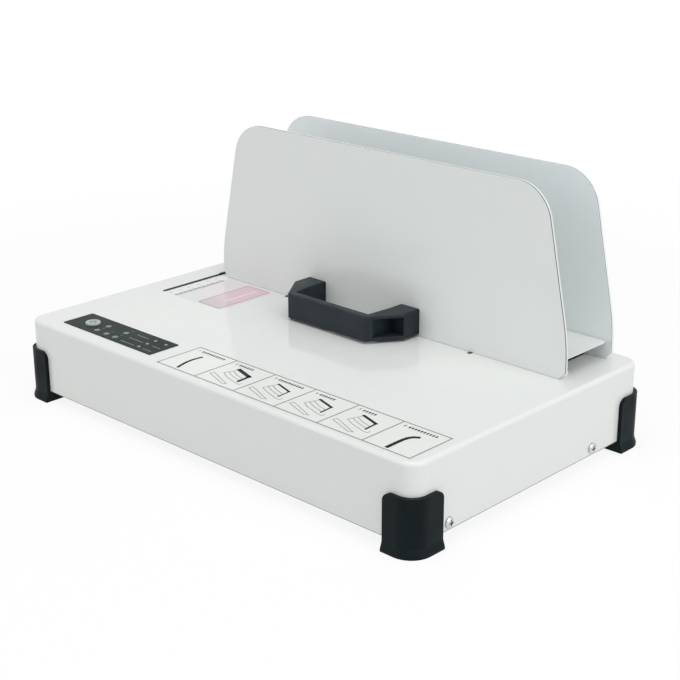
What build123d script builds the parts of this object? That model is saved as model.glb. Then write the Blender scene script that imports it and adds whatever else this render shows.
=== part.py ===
"""Thermal binding machine with a sliding clamp, as separate named pieces.

Frame: millimetres, X to the machine's right, Y to its rear, Z up.
The origin is on the floor under the middle of the case.
The machine is shown closed: the clamp rests against the rear plate.
"""

from build123d import *
import os

os.makedirs("parts", exist_ok=True)

# ---- colours ------------------------------------------------------------
WHITE, BLACK = (0.88, 0.9, 0.89), (0.13, 0.15, 0.16)
STEEL, ZINC, CHROME = (0.72, 0.72, 0.74), (0.62, 0.64, 0.65), (0.8, 0.8, 0.82)
ALUMINIUM, BRASS = (0.3, 0.3, 0.31), (0.72, 0.58, 0.3)
GREY_PLASTIC, CREAM, GREEN = (0.7, 0.72, 0.73), (0.83, 0.8, 0.7), (0.1, 0.33, 0.2)
RED = (0.55, 0.2, 0.12)

# ---- case ---------------------------------------------------------------
CASE_W, CASE_D = 400.0, 250.0      # outside of the top cover
CASE_Z0, CASE_Z1 = 8.5, 64.5       # lower edge and top face of the cover
CASE_R, TOP_R = 12.0, 3.0          # upright corners, edge round the top
SHEET = 1.6
TRAY_GAP = 0.4
TRAY_T, TRAY_Z, TRAY_H = 1.5, 7.8, 16.0     # the tray's rim shows below the cover
TRAY_TOP = TRAY_Z + TRAY_T
SIDE_SCREWS = [(-90.0, 14.0), (66.9, 14.0)]     # Y, Z on both sides

# ---- corner feet --------------------------------------------------------
FOOT_T, FOOT_H = 3.0, 41.2
FOOT_X, FOOT_Y = 23.2, 26.0        # wrap along the front and along the side
FLARE, FLARE_Z, SOLE_Z = 1.6, 6.6, 1.8   # outward step of the sole, where it starts and ends
FOOT_SCREW = (186.0, 111.0)

# ---- upright plates -----------------------------------------------------
PLATE_X = 8.0                      # the plates stand right of the middle
PLATE_T = 3.0
FRONT_Y, REAR_Y = 52.4, 108.4      # front faces of the two plates
PLATE_HALF, CROWN_HALF = 176.0, 152.5
SHOULDER_Z, PLATE_Z = 90.0, 200.0
CROWN_R, SHOULDER_R = 30.0, 150.0
CORNER_CUT = 4.4                   # the lower corners are cut off at 45 degrees
FLANGE_HALF = PLATE_HALF - CORNER_CUT
BEND_OUT, BEND_IN = 0.5, 1.0
SEAM_Y, SEAM_W, SEAM_DEPTH = 0.5, 0.7, 0.8     # the line where the sheet is folded over
FRONT_FOOT_Z = 64.7
FRONT_FLANGE, REAR_FLANGE = 10.8, 11.0
REAR_SCREWS = [(PLATE_X + dx, REAR_Y + 7.6) for dx in (-150, -50, 50, 150)]

# ---- clamp --------------------------------------------------------------
TRAVEL = 54.0                      # how far the clamp opens
SHELF_Z, SHELF_T = 78.5, 0.9       # top face, sheet thickness
SHELF_HALF = 172.6
SHELF_Y1 = 108.0
LIP_HALF, LIP_Z = 149.0, 66.5
SHELF_SCREWS = [PLATE_X + dx for dx in (-140, 0, 140)]
SHELF_SCREW_Z = SHELF_Z - 4.8
BLADES_X = [-90.2, 100.7]
BLADE_T, BLADE_Y0, BLADE_Y1 = 2.6, 104.0, 107.0
TAB_Y = 96.5                       # screws from the shelf into the blades
BLOCK_Y0, BLOCK_Y1 = 90.0, 112.0
BLOCK_Z0, BLOCK_Z1 = 24.0, 44.0
ROD_Z, ROD_R = 34.0, 4.0
BUSH_R, RUN_GAP = 6.0, 0.05
BRACKETS_Y = [20.0, 115.0]
PUSHERS_X = [-45.0, 55.0]
PLUNGER_Y = 20.0                   # front end of the plungers with the clamp closed
POINTER_X, POINTER_Y0, POINTER_Y1 = -174.2, 53.0, 59.0
POINTER_T = 2.4

# ---- openings in the top ------------------------------------------------
WELL_X0, WELL_X1 = -144.5, 163.0
WELL_Y0, WELL_Y1 = 60.0, 108.0
SLIT_W, SLIT_Y0 = 3.8, 48.7
POINTER_SLOT_W, POINTER_SLOT_Y = 3.8, (-9.5, 62.0)

# ---- heater -------------------------------------------------------------
HEATER_X0, HEATER_X1 = -143.5, 161.5
HEATER_Y0, HEATER_Y1 = 61.0, 114.0
HEATER_Z0, HEATER_Z1 = 52.0, 58.0
COMB_W, COMB_Y1 = 5.0, 107.6
CRADLE_Z, CRADLE_T, MAT_T = 46.3, 1.2, 1.5

# ---- handle -------------------------------------------------------------
GRIP_X, GRIP_HALF, BAR_HALF = -7.2, 58.0, 40.5
GRIP_Z0, GRIP_Z1 = 66.5, 86.5
GRIP_FRONT, GRIP_BAR, GRIP_SHOULDER = 10.8, 6.5, 35.4
GRIP_SCREWS = [GRIP_X - 49.0, GRIP_X + 49.0]
GRIP_SCREW_Z = 82.4

# ---- control panel ------------------------------------------------------
PANEL_X0, PANEL_X1 = -170.2, -65.6
PANEL_Y0, PANEL_Y1 = -113.0, -85.0
PANEL_T = 0.5
KEY_X, KEY_Y, KEY_R, KEY_RISE = -150.6, -99.4, 5.9, 1.4
KEY_TRAVEL = 1.0
LAMPS = [(-84.0, -108.0), (-84.0, -100.0), (-84.0, -92.0), (-72.0, -92.0)]
BOARD_Z, BOARD_TOP = 50.0, 51.6     # the board under the panel
SWITCH_TOP = BOARD_TOP + 4.3
SUPPLY_Z, SUPPLY_TOP = 16.0, 17.6   # the power board on the tray

# ---- power inlet --------------------------------------------------------
INLET_X, INLET_Z = 150.0, 31.0
INLET_W, INLET_H = 24.0, 16.4


def save(builder, name, color):
    """Label one finished piece, give it a colour and write its STEP file."""
    builder.part.label = name
    builder.part.color = Color(*color)
    export_step(builder.part, f"parts/{name}.step")


def span_box(x0, x1, y0, y1, z0, z1, mode=Mode.ADD):
    """A box between two corners."""
    with Locations(((x0 + x1) / 2, (y0 + y1) / 2, (z0 + z1) / 2)):
        Box(x1 - x0, y1 - y0, z1 - z0, mode=mode)


def post(x, y, z0, z1, r, mode=Mode.ADD):
    """An upright cylinder."""
    with Locations((x, y, z0)):
        Cylinder(r, z1 - z0, align=(Align.CENTER, Align.CENTER, Align.MIN), mode=mode)


def rod_y(x, z, y0, y1, r, mode=Mode.ADD):
    """A cylinder that lies along Y."""
    with Locations(Location((x, y0, z), (-90, 0, 0))):
        Cylinder(r, y1 - y0, align=(Align.CENTER, Align.CENTER, Align.MIN), mode=mode)


def pan_screw(head_r, head_h, shank_r, shank, cross=0.0):
    """One pan-head screw: head above Z = 0, shank below it, optional cross recess."""
    rise = 0.55 * head_h
    dome_r = (head_r**2 + rise**2) / (2 * rise)
    mid = (head_r / 2, head_h - dome_r + (dome_r**2 - head_r**2 / 4) ** 0.5)
    with BuildPart(mode=Mode.PRIVATE) as screw:
        with BuildSketch(Plane.XZ):
            with BuildLine():
                Polyline((0, head_h), (0, -shank), (shank_r, -shank), (shank_r, 0), (head_r, 0),
                         (head_r, head_h - rise))
                ThreePointArc((head_r, head_h - rise), mid, (0, head_h))
            make_face()
        revolve(axis=Axis.Z)
        if cross:
            with Locations((0, 0, head_h)):
                Box(cross, 0.25 * cross, head_h, mode=Mode.SUBTRACT)
                Box(0.25 * cross, cross, head_h, mode=Mode.SUBTRACT)
    return screw.part


def upright_plate(y, foot_z, flange):
    """A sheet with a tapered, rounded crown and a narrower foot bent to the rear."""
    x0, x1 = PLATE_X - PLATE_HALF, PLATE_X + PLATE_HALF
    low, high = foot_z + BEND_OUT, foot_z + 5.0
    with BuildPart(mode=Mode.PRIVATE) as plate:
        with BuildSketch(Plane.XZ.offset(-y)) as face:
            with BuildLine():
                Polyline(
                    (x0 + CORNER_CUT, low), (x1 - CORNER_CUT, low), (x1, low + CORNER_CUT),
                    (x1, SHOULDER_Z), (PLATE_X + CROWN_HALF, PLATE_Z),
                    (PLATE_X - CROWN_HALF, PLATE_Z), (x0, SHOULDER_Z), (x0, low + CORNER_CUT),
                    close=True,
                )
            make_face()
            fillet([v for v in face.vertices() if abs(v.Y - low - CORNER_CUT) < 0.1], 1.0)
            fillet(face.vertices().group_by(Axis.Y)[-1], CROWN_R)
            fillet([v for v in face.vertices() if abs(v.Y - SHOULDER_Z) < 0.1], SHOULDER_R)
        extrude(amount=-PLATE_T)
        with BuildSketch(Plane.XZ.offset(-(y + SEAM_Y))):
            add(face.sketch_local)
            add(offset(face.sketch_local, amount=-SEAM_DEPTH, mode=Mode.PRIVATE), mode=Mode.SUBTRACT)
        extrude(amount=-SEAM_W, mode=Mode.SUBTRACT)
        with BuildSketch(Plane.YZ.offset(PLATE_X - FLANGE_HALF)) as bend:
            with BuildLine():
                Polyline(
                    (y, high), (y, foot_z), (y + flange, foot_z), (y + flange, foot_z + PLATE_T),
                    (y + PLATE_T, foot_z + PLATE_T), (y + PLATE_T, high), close=True,
                )
            make_face()
            fillet(bend.vertices().sort_by_distance((y, foot_z))[0], BEND_OUT)
            fillet(bend.vertices().sort_by_distance((y + PLATE_T, foot_z + PLATE_T))[0], BEND_IN)
        extrude(amount=2 * FLANGE_HALF)
    return plate.part


def combed(z0, z1, x0, x1, y0, y1):
    """A slab with the two slots that the clamp's blades run through."""
    span_box(x0, x1, y0, y1, z0, z1)
    for x in BLADES_X:
        span_box(x - COMB_W / 2, x + COMB_W / 2, y0 - 1, COMB_Y1, z0 - 1, z1 + 1, Mode.SUBTRACT)


def foot_screw_spots():
    """The X, Y of the four screws through the feet."""
    return [(sx * FOOT_SCREW[0], sy * FOOT_SCREW[1]) for sx in (-1, 1) for sy in (-1, 1)]


# ---- case ---------------------------------------------------------------
with BuildPart() as top_cover:
    with BuildSketch(Plane.XY.offset(CASE_Z0)):
        RectangleRounded(CASE_W, CASE_D, CASE_R)
    extrude(amount=CASE_Z1 - CASE_Z0)
    fillet(top_cover.faces().sort_by(Axis.Z)[-1].edges(), TOP_R)
    offset(amount=-SHEET, openings=top_cover.faces().sort_by(Axis.Z)[0])
    with BuildSketch(Plane.XY.offset(CASE_Z1)):
        with Locations(((WELL_X0 + WELL_X1) / 2, (WELL_Y0 + WELL_Y1) / 2)):
            RectangleRounded(WELL_X1 - WELL_X0, WELL_Y1 - WELL_Y0, 2.0)
        for x in BLADES_X:
            with Locations((x, (SLIT_Y0 + WELL_Y0 + 10) / 2)):
                SlotOverall(WELL_Y0 + 10 - SLIT_Y0, SLIT_W, rotation=90)
        with Locations((POINTER_X, sum(POINTER_SLOT_Y) / 2)):
            SlotOverall(POINTER_SLOT_Y[1] - POINTER_SLOT_Y[0], POINTER_SLOT_W, rotation=90)
        with Locations((KEY_X, KEY_Y)):
            Circle(KEY_R + 0.4)
        with Locations(*LAMPS):
            Circle(1.8)
        with Locations(*REAR_SCREWS):
            Circle(1.6)
    extrude(amount=-2 * SHEET, mode=Mode.SUBTRACT)
    for side in (-1, 1):
        for y, z in SIDE_SCREWS:
            with Locations(Location((side * CASE_W / 2, y, z), (0, 90, 0))):
                Cylinder(1.7, 6, mode=Mode.SUBTRACT)
    with BuildSketch(Plane.XZ.offset(-CASE_D / 2 - 1)):
        with Locations((INLET_X, INLET_Z)):
            Rectangle(29, 21.4)
        with Locations((INLET_X - 20, INLET_Z), (INLET_X + 20, INLET_Z)):
            Circle(1.6)
        with Locations((-95, 36)):
            with GridLocations(7, 0, 16, 1):
                SlotOverall(26, 3, rotation=90)
    extrude(amount=4, mode=Mode.SUBTRACT)
save(top_cover, "top_cover", WHITE)

with BuildPart() as bottom_tray:
    inset = 2 * (SHEET + TRAY_GAP)
    with BuildSketch(Plane.XY.offset(TRAY_Z)):
        RectangleRounded(CASE_W - inset, CASE_D - inset, CASE_R - inset / 2)
    extrude(amount=TRAY_H)
    offset(amount=-TRAY_T, openings=bottom_tray.faces().sort_by(Axis.Z)[-1])
    for side in (-1, 1):
        for y, z in SIDE_SCREWS:
            with Locations(Location((side * (CASE_W / 2 - 3), y, z), (0, 90, 0))):
                Cylinder(1.5, 6, mode=Mode.SUBTRACT)
    with BuildSketch(Plane.XY.offset(TRAY_Z - 1)):
        with Locations(*foot_screw_spots()):
            Circle(2.05)
        with Locations((-10, -70)):
            with GridLocations(9, 0, 12, 1):
                SlotOverall(44, 3.4, rotation=90)
    extrude(amount=TRAY_T + 2, mode=Mode.SUBTRACT)
    span_box(INLET_X - 16, INLET_X + 16, CASE_D / 2 - 6, CASE_D / 2, INLET_Z - 12, CASE_Z1, Mode.SUBTRACT)
save(bottom_tray, "bottom_tray", ZINC)

# ---- corner feet --------------------------------------------------------
for side_x, across in ((-1, "left"), (1, "right")):
    for side_y, along in ((-1, "front"), (1, "rear")):
        with BuildPart() as foot:
            with BuildSketch(Plane.XY.offset(FLARE_Z)) as plan:
                RectangleRounded(CASE_W + 2 * FOOT_T, CASE_D + 2 * FOOT_T, CASE_R + FOOT_T)
            extrude(amount=FOOT_H - FLARE_Z)
            with BuildSketch() as sole:
                RectangleRounded(CASE_W + 2 * (FOOT_T + FLARE), CASE_D + 2 * (FOOT_T + FLARE),
                                 CASE_R + FOOT_T + FLARE)
            extrude(amount=SOLE_Z)
            loft([Location((0, 0, SOLE_Z)) * sole.sketch.face(), plan.sketch.face()])
            with Locations((side_x * (CASE_W / 2 - FOOT_X), side_y * (CASE_D / 2 - FOOT_Y), 0)):
                Box(60, 60, FOOT_H, mode=Mode.INTERSECT, align=(
                    Align.MIN if side_x > 0 else Align.MAX,
                    Align.MIN if side_y > 0 else Align.MAX, Align.MIN))
            with BuildSketch(Plane.XY.offset(TRAY_Z - 0.1)):
                RectangleRounded(CASE_W + 0.2, CASE_D + 0.2, CASE_R + 0.1)
            extrude(amount=FOOT_H, mode=Mode.SUBTRACT)
            rim = foot.faces().sort_by(Axis.Z)[-1].edges().filter_by(GeomType.LINE)
            fillet(rim.filter_by(lambda e: e.length < FOOT_T), 6.0)
            x, y = side_x * FOOT_SCREW[0], side_y * FOOT_SCREW[1]
            post(x, y, TRAY_Z - 0.3, TRAY_Z, 6.0)
            post(x, y, -1, 4.0, 4.6, Mode.SUBTRACT)
            post(x, y, 0, 12, 2.2, Mode.SUBTRACT)
        save(foot, f"foot_{along}_{across}", BLACK)

with BuildPart() as foot_screws:
    with Locations(*[Location((x, y, 4.0), (180, 0, 0)) for x, y in foot_screw_spots()]):
        add(pan_screw(3.8, 2.6, 1.95, 10.0))
save(foot_screws, "foot_screws", STEEL)

with BuildPart() as case_screws:
    with Locations(*[Location((side * CASE_W / 2, y, z), (0, 90 * side, 0))
                     for side in (-1, 1) for y, z in SIDE_SCREWS]):
        add(pan_screw(3.9, 2.4, 1.45, 7.0, cross=4.2))
save(case_screws, "case_screws", STEEL)

# ---- rear plate ---------------------------------------------------------
with BuildPart() as rear_plate:
    add(upright_plate(REAR_Y, CASE_Z1, REAR_FLANGE))
    for x, y in REAR_SCREWS:
        post(x, y, CASE_Z1 - 1, CASE_Z1 + 5, 1.6, Mode.SUBTRACT)
save(rear_plate, "rear_plate", WHITE)

with BuildPart() as rear_plate_screws:
    with Locations(*[(x, y, CASE_Z1 + PLATE_T) for x, y in REAR_SCREWS]):
        add(pan_screw(2.8, 2.0, 1.45, 7.0, cross=3.0))
save(rear_plate_screws, "rear_plate_screws", STEEL)

# ---- clamp: front plate, shelf, handle ----------------------------------
with BuildPart() as front_plate:
    add(upright_plate(FRONT_Y, FRONT_FOOT_Z, FRONT_FLANGE))
    for x in GRIP_SCREWS:
        rod_y(x, GRIP_SCREW_Z, FRONT_Y - 1, FRONT_Y + PLATE_T + 1, 1.7, Mode.SUBTRACT)
    for x in SHELF_SCREWS:
        rod_y(x, SHELF_SCREW_Z, FRONT_Y + 1, FRONT_Y + PLATE_T + 1, 1.25, Mode.SUBTRACT)
save(front_plate, "front_plate", WHITE)

with BuildPart() as clamp_shelf:
    y0, z0 = FRONT_Y + PLATE_T, SHELF_Z - SHELF_T
    with BuildSketch(Plane.XY.offset(z0)) as sheet:
        with Locations((PLATE_X, (y0 + SHELF_Y1) / 2)):
            Rectangle(2 * SHELF_HALF, SHELF_Y1 - y0)
        fillet(sheet.vertices().group_by(Axis.Y)[-1], 4.0)
        with Locations(*[(x, TAB_Y) for x in BLADES_X]):
            Circle(1.6, mode=Mode.SUBTRACT)
    extrude(amount=SHELF_T)
    span_box(PLATE_X - SHELF_HALF, PLATE_X + SHELF_HALF, y0, y0 + SHELF_T, z0 - 6.8, SHELF_Z)
    span_box(PLATE_X - LIP_HALF, PLATE_X + LIP_HALF, SHELF_Y1 - 0.9, SHELF_Y1, LIP_Z, SHELF_Z)
    for x in SHELF_SCREWS:
        rod_y(x, SHELF_SCREW_Z, y0 - 1, y0 + SHELF_T + 1, 1.6, Mode.SUBTRACT)
save(clamp_shelf, "clamp_shelf", WHITE)

with BuildPart() as shelf_screws:
    with Locations(*[Location((x, FRONT_Y + PLATE_T + SHELF_T, SHELF_SCREW_Z), (-90, 0, 0))
                     for x in SHELF_SCREWS]):
        add(pan_screw(2.1, 1.4, 1.2, 2.8))
    with Locations(*[(x, TAB_Y, SHELF_Z) for x in BLADES_X]):
        add(pan_screw(2.8, 1.5, 1.45, 3.6, cross=3.0))
save(shelf_screws, "shelf_screws", STEEL)

with BuildPart() as handle:
    with BuildSketch(Plane.XY.offset(GRIP_Z0)) as outline:
        with BuildLine():
            Polyline(
                (GRIP_X - GRIP_HALF, FRONT_Y), (GRIP_X - GRIP_HALF, GRIP_SHOULDER),
                (GRIP_X - BAR_HALF, GRIP_FRONT), (GRIP_X + BAR_HALF, GRIP_FRONT),
                (GRIP_X + GRIP_HALF, GRIP_SHOULDER), (GRIP_X + GRIP_HALF, FRONT_Y), close=True,
            )
        make_face()
        fillet(outline.vertices().filter_by(lambda v: v.Y < FRONT_Y - 1), 1.6)
        with BuildLine():
            Polyline(
                (GRIP_X - 40, FRONT_Y + 1), (GRIP_X - 40, GRIP_SHOULDER + 4),
                (GRIP_X - 38, GRIP_FRONT + GRIP_BAR), (GRIP_X + 38, GRIP_FRONT + GRIP_BAR),
                (GRIP_X + 40, GRIP_SHOULDER + 4), (GRIP_X + 40, FRONT_Y + 1), close=True,
            )
        make_face(mode=Mode.SUBTRACT)
    extrude(amount=GRIP_Z1 - GRIP_Z0)
    chamfer(handle.faces().sort_by(Axis.Z)[-1].edges(), 0.7)
    # the hollows in the slanting shoulders
    for side in (-1, 1):
        with BuildSketch(Plane.XY.offset(GRIP_Z0 + 2.8)):
            with BuildLine():
                Polyline(*[(GRIP_X + side * x, y) for x, y in (
                    (44.0, GRIP_FRONT + 4.3), (60, GRIP_FRONT + 4.3), (60, GRIP_SHOULDER - 1.6),
                    (54.6, GRIP_SHOULDER + 1), (43.6, GRIP_SHOULDER + 1), (43.4, GRIP_FRONT + 10))],
                    close=True)
            make_face()
        extrude(amount=GRIP_Z1 - GRIP_Z0 - 5.6, mode=Mode.SUBTRACT)
    for x in GRIP_SCREWS:
        rod_y(x, GRIP_SCREW_Z, FRONT_Y - 12, FRONT_Y + 1, 1.5, Mode.SUBTRACT)
save(handle, "handle", BLACK)

with BuildPart() as handle_screws:
    with Locations(*[Location((x, FRONT_Y + PLATE_T, GRIP_SCREW_Z), (-90, 0, 0)) for x in GRIP_SCREWS]):
        add(pan_screw(2.9, 2.0, 1.45, 13.0, cross=3.0))
save(handle_screws, "handle_screws", STEEL)

# ---- clamp: slide under the top -----------------------------------------
with BuildPart() as clamp_blades:
    for x in BLADES_X:
        span_box(x - BLADE_T / 2, x + BLADE_T / 2, BLADE_Y0, BLADE_Y1, BLOCK_Z1, SHELF_Z - SHELF_T)
        span_box(x - 10, x + 10, TAB_Y - 6, BLADE_Y1, SHELF_Z - SHELF_T - 2, SHELF_Z - SHELF_T)
        span_box(x - 10, x + 10, BLOCK_Y0, BLADE_Y1, BLOCK_Z1, BLOCK_Z1 + 1.2)
        post(x, TAB_Y, SHELF_Z - 6, SHELF_Z, 1.5, Mode.SUBTRACT)
save(clamp_blades, "clamp_blades", ZINC)

with BuildPart() as slide_blocks:
    for x in BLADES_X:
        span_box(x - 10, x + 10, BLOCK_Y0, BLOCK_Y1, BLOCK_Z0, BLOCK_Z1)
        rod_y(x, ROD_Z, BLOCK_Y0 - 1, BLOCK_Y1 + 1, BUSH_R + 0.02, Mode.SUBTRACT)
    chamfer(slide_blocks.edges().filter_by(Axis.Y).filter_by(GeomType.LINE), 1.0)
save(slide_blocks, "slide_blocks", GREY_PLASTIC)

with BuildPart() as slide_bushes:
    for x in BLADES_X:
        rod_y(x, ROD_Z, BLOCK_Y0, BLOCK_Y1, BUSH_R)
        rod_y(x, ROD_Z, BLOCK_Y0 - 1.5, BLOCK_Y0, BUSH_R + 1.5)
        rod_y(x, ROD_Z, BLOCK_Y0 - 3, BLOCK_Y1 + 1, ROD_R + RUN_GAP, Mode.SUBTRACT)
save(slide_bushes, "slide_bushes", BRASS)

with BuildPart() as guide_rods:
    for x in BLADES_X:
        rod_y(x, ROD_Z, BRACKETS_Y[0] - 4, BRACKETS_Y[1] + 6, ROD_R)
    chamfer(guide_rods.edges().filter_by(GeomType.CIRCLE), 0.6)
save(guide_rods, "guide_rods", CHROME)

with BuildPart() as rod_brackets:
    for x in BLADES_X:
        for y in BRACKETS_Y:
            span_box(x - 14, x + 14, y, y + 2, TRAY_TOP, ROD_Z + 9)
            span_box(x - 14, x + 14, y - 14, y + 2, TRAY_TOP, TRAY_TOP + 2)
            rod_y(x, ROD_Z, y - 1, y + 3, ROD_R + 0.02, Mode.SUBTRACT)
    fillet(rod_brackets.edges().filter_by(Axis.Y).group_by(Axis.Z)[-1], 5.0)
save(rod_brackets, "rod_brackets", ZINC)

with BuildPart() as cross_bar:
    span_box(POINTER_X - 9, BLADES_X[1] + 14, BLOCK_Y0 + 2, BLOCK_Y1 - 4, BLOCK_Z0 - 3, BLOCK_Z0)
    span_box(POINTER_X - 9, POINTER_X + 9, POINTER_Y0 - 2, BLOCK_Y1 - 4, BLOCK_Z0 - 3, BLOCK_Z0)
    for x in PUSHERS_X:
        span_box(x - 6, x + 6, BLOCK_Y0 + 2, BLOCK_Y0 + 4, BLOCK_Z0, ROD_Z + 6)
save(cross_bar, "cross_bar", ZINC)

with BuildPart() as spring_plungers:
    for x in PUSHERS_X:
        rod_y(x, ROD_Z, PLUNGER_Y, BLOCK_Y0 + 2, 3.0)
        rod_y(x, ROD_Z, PLUNGER_Y - 1, PLUNGER_Y + 2, 4.6)
save(spring_plungers, "spring_plungers", CHROME)

with BuildPart() as spring_barrels:
    for x in PUSHERS_X:
        front, rear = PLUNGER_Y - TRAVEL - 6, PLUNGER_Y + 14
        rod_y(x, ROD_Z, front, rear, 6.0)
        rod_y(x, ROD_Z, front + 2, rear - 2, 4.9, Mode.SUBTRACT)
        rod_y(x, ROD_Z, rear - 3, rear + 1, 3.0 + RUN_GAP, Mode.SUBTRACT)
save(spring_barrels, "spring_barrels", STEEL)

with BuildPart() as barrel_saddles:
    for x in PUSHERS_X:
        for y in (-34, 20):
            span_box(x - 11, x + 11, y, y + 8, TRAY_TOP, ROD_Z)
            rod_y(x, ROD_Z, y - 1, y + 9, 6.02, Mode.SUBTRACT)
save(barrel_saddles, "barrel_saddles", GREY_PLASTIC)

with BuildPart() as pointer:
    span_box(POINTER_X - POINTER_T / 2, POINTER_X + POINTER_T / 2, POINTER_Y0, POINTER_Y1,
             BLOCK_Z0, CASE_Z1 + 1.2)
    fillet(pointer.faces().sort_by(Axis.Z)[-1].edges(), 0.5)
save(pointer, "thickness_pointer", BLACK)

# ---- heater -------------------------------------------------------------
with BuildPart() as heater_cradle:
    x0, x1, low, high = HEATER_X0 - 4.5, HEATER_X1 + 5.0, CRADLE_Z, CASE_Z1 - SHEET - 0.1
    combed(low, low + CRADLE_T, x0, x1, HEATER_Y0 - 1, HEATER_Y1 + 1)
    for wall, edge in ((x0, x0 - 9), (x1 - CRADLE_T, x1 + 9)):
        span_box(wall, wall + CRADLE_T, HEATER_Y0 - 1, HEATER_Y1 + 1, low, high)
        span_box(min(wall, edge), max(wall + CRADLE_T, edge), HEATER_Y0 - 1, HEATER_Y1 + 1,
                 high - CRADLE_T, high)
save(heater_cradle, "heater_cradle", ZINC)

with BuildPart() as heater_insulation:
    combed(CRADLE_Z + CRADLE_T, HEATER_Z0 - MAT_T, HEATER_X0 - 1, HEATER_X1 + 1, HEATER_Y0, HEATER_Y1)
save(heater_insulation, "heater_insulation", CREAM)

with BuildPart() as heating_mats:
    for x0, x1 in ((-140, -96), (-84, 94), (107, 158)):
        span_box(x0, x1, 64, 104, HEATER_Z0 - MAT_T, HEATER_Z0)
save(heating_mats, "heating_mats", RED)

with BuildPart() as heater_plate:
    combed(HEATER_Z0, HEATER_Z1, HEATER_X0, HEATER_X1, HEATER_Y0, HEATER_Y1)
    chamfer(heater_plate.faces().sort_by(Axis.Z)[-1].edges(), 0.8)
save(heater_plate, "heater_plate", ALUMINIUM)

with BuildPart() as thermostat:
    post(5, 82, CRADLE_Z - 1.0, CRADLE_Z, 10.0)
    post(5, 82, CRADLE_Z - 8.0, CRADLE_Z - 1.0, 8.0)
    for dx in (-4, 4):
        span_box(5 + dx - 2.4, 5 + dx + 2.4, 80, 81, CRADLE_Z - 13, CRADLE_Z - 8)
save(thermostat, "thermostat", CREAM)

# ---- control panel ------------------------------------------------------
with BuildPart() as panel_overlay:
    with BuildSketch(Plane.XY.offset(CASE_Z1)):
        with Locations(((PANEL_X0 + PANEL_X1) / 2, (PANEL_Y0 + PANEL_Y1) / 2)):
            RectangleRounded(PANEL_X1 - PANEL_X0, PANEL_Y1 - PANEL_Y0, 0.8)
        with Locations((KEY_X, KEY_Y)):
            Circle(KEY_R + 0.35, mode=Mode.SUBTRACT)
        with Locations(*LAMPS):
            Circle(1.3, mode=Mode.SUBTRACT)
    extrude(amount=PANEL_T)
save(panel_overlay, "panel_overlay", BLACK)

with BuildPart() as power_key:
    post(KEY_X, KEY_Y, CASE_Z1 - 3.1, CASE_Z1 - 1.9, KEY_R + 1.4)
    post(KEY_X, KEY_Y, CASE_Z1 - 1.9, CASE_Z1 + PANEL_T + KEY_RISE, KEY_R)
    fillet(power_key.edges().group_by(Axis.Z)[-1], 0.6)
    with Locations((KEY_X, KEY_Y, CASE_Z1 + PANEL_T + KEY_RISE + 27.0)):
        Sphere(27.4, mode=Mode.SUBTRACT)
    post(KEY_X, KEY_Y, SWITCH_TOP + KEY_TRAVEL + 0.1, CASE_Z1 - 3.1, 1.6)
save(power_key, "power_key", GREY_PLASTIC)

with BuildPart() as control_board:
    span_box(PANEL_X0 - 2, PANEL_X1 + 2, PANEL_Y0 - 2, PANEL_Y1 + 2, BOARD_Z, BOARD_TOP)
save(control_board, "control_board", GREEN)

with BuildPart() as board_posts:
    for x in (PANEL_X0 + 2, PANEL_X1 - 2):
        for y in (PANEL_Y0 + 1, PANEL_Y1 - 1):
            post(x, y, BOARD_TOP, CASE_Z1 - SHEET, 2.4)
save(board_posts, "board_posts", STEEL)

with BuildPart() as key_switch:
    span_box(KEY_X - 6, KEY_X + 6, KEY_Y - 6, KEY_Y + 6, BOARD_TOP, BOARD_TOP + 3.4)
    post(KEY_X, KEY_Y, BOARD_TOP + 3.4, SWITCH_TOP, 1.75)
save(key_switch, "key_switch", BLACK)

with BuildPart() as lamps:
    for x, y in LAMPS:
        post(x, y, BOARD_TOP, BOARD_TOP + 1.0, 1.9)
        post(x, y, BOARD_TOP + 1.0, CASE_Z1 - 0.2, 1.4)
        post(x, y, CASE_Z1 - 0.2, CASE_Z1 + 0.4, 1.0)
save(lamps, "lamps", RED)

with BuildPart() as control_parts:
    for x, y, w, d, h in ((-112, -99, 14, 9, 2.4), (-132, -108, 7, 5, 1.8), (-94, -108, 5, 5, 2.0),
                          (-128, -92, 9, 6, 6.5), (-98, -90, 8, 4, 4.0)):
        span_box(x - w / 2, x + w / 2, y - d / 2, y + d / 2, BOARD_TOP, BOARD_TOP + h)
    for x in (-76, -116):
        post(x, -107, BOARD_TOP, BOARD_TOP + 8.0, 3.2)
save(control_parts, "control_parts", BLACK)

# ---- power board --------------------------------------------------------
with BuildPart() as power_board:
    span_box(60, 160, -110, -50, SUPPLY_Z, SUPPLY_TOP)
save(power_board, "power_board", GREEN)

with BuildPart() as power_board_posts:
    for x in (65, 155):
        for y in (-105, -55):
            post(x, y, TRAY_TOP, SUPPLY_Z, 3.0)
save(power_board_posts, "power_board_posts", STEEL)

with BuildPart() as transformer:
    span_box(116, 148, -96, -70, SUPPLY_TOP + 3, SUPPLY_TOP + 21)
    span_box(122, 142, -101, -65, SUPPLY_TOP, SUPPLY_TOP + 24)
    chamfer(transformer.edges().filter_by(Axis.Z), 1.0)
save(transformer, "transformer", BRASS)

with BuildPart() as relay:
    span_box(84, 103, -76, -60, SUPPLY_TOP, SUPPLY_TOP + 15.5)
    fillet(relay.edges().filter_by(Axis.Z), 1.0)
save(relay, "relay", BLACK)

with BuildPart() as capacitors:
    for x in (72, 89):
        post(x, -96, SUPPLY_TOP, SUPPLY_TOP + 20, 6.5)
    fillet(capacitors.edges().group_by(Axis.Z)[-1], 0.8)
save(capacitors, "capacitors", BLACK)

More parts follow.
